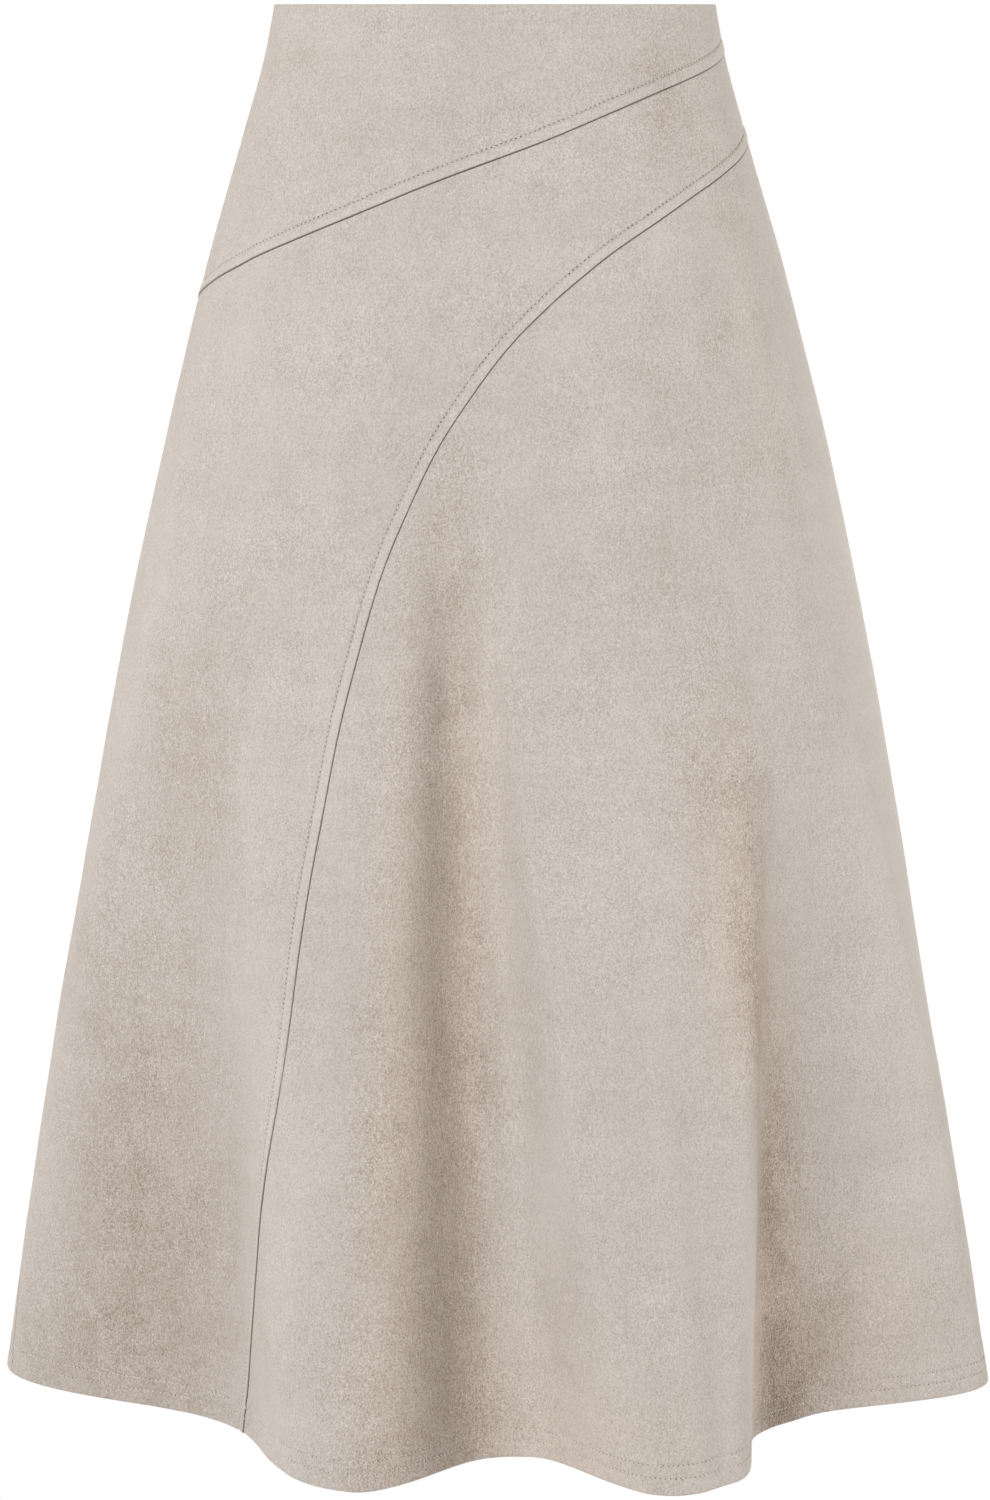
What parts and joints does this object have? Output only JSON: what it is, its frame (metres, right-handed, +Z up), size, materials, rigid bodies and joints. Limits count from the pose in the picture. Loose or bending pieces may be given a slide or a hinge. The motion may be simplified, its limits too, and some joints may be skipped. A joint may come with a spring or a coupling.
{
  "type": "a-line skirt",
  "caption": "Flared midi skirt that hangs from the waist, open at waist and hem, with a slanting yoke seam and a long seam that sweeps from the side over the front to the hem.",
  "frame": {"origin": "centre of the waist opening, level with the waist edge, where the wearer's waist holds the skirt", "axes": "+Z up, front of the skirt towards -Y, the wearer's left towards +X"},
  "size_m": [0.5827, 0.4194, 0.8],
  "materials": {
    "suede": "matt faux suede, warm oatmeal beige",
    "thread": "matt spun thread in the colour of the suede"
  },
  "bodies": {
    "root": {"front_yoke": "suede", "front_middle": "suede", "front_lower": "suede", "back": "suede"}
  },
  "joints": []
}
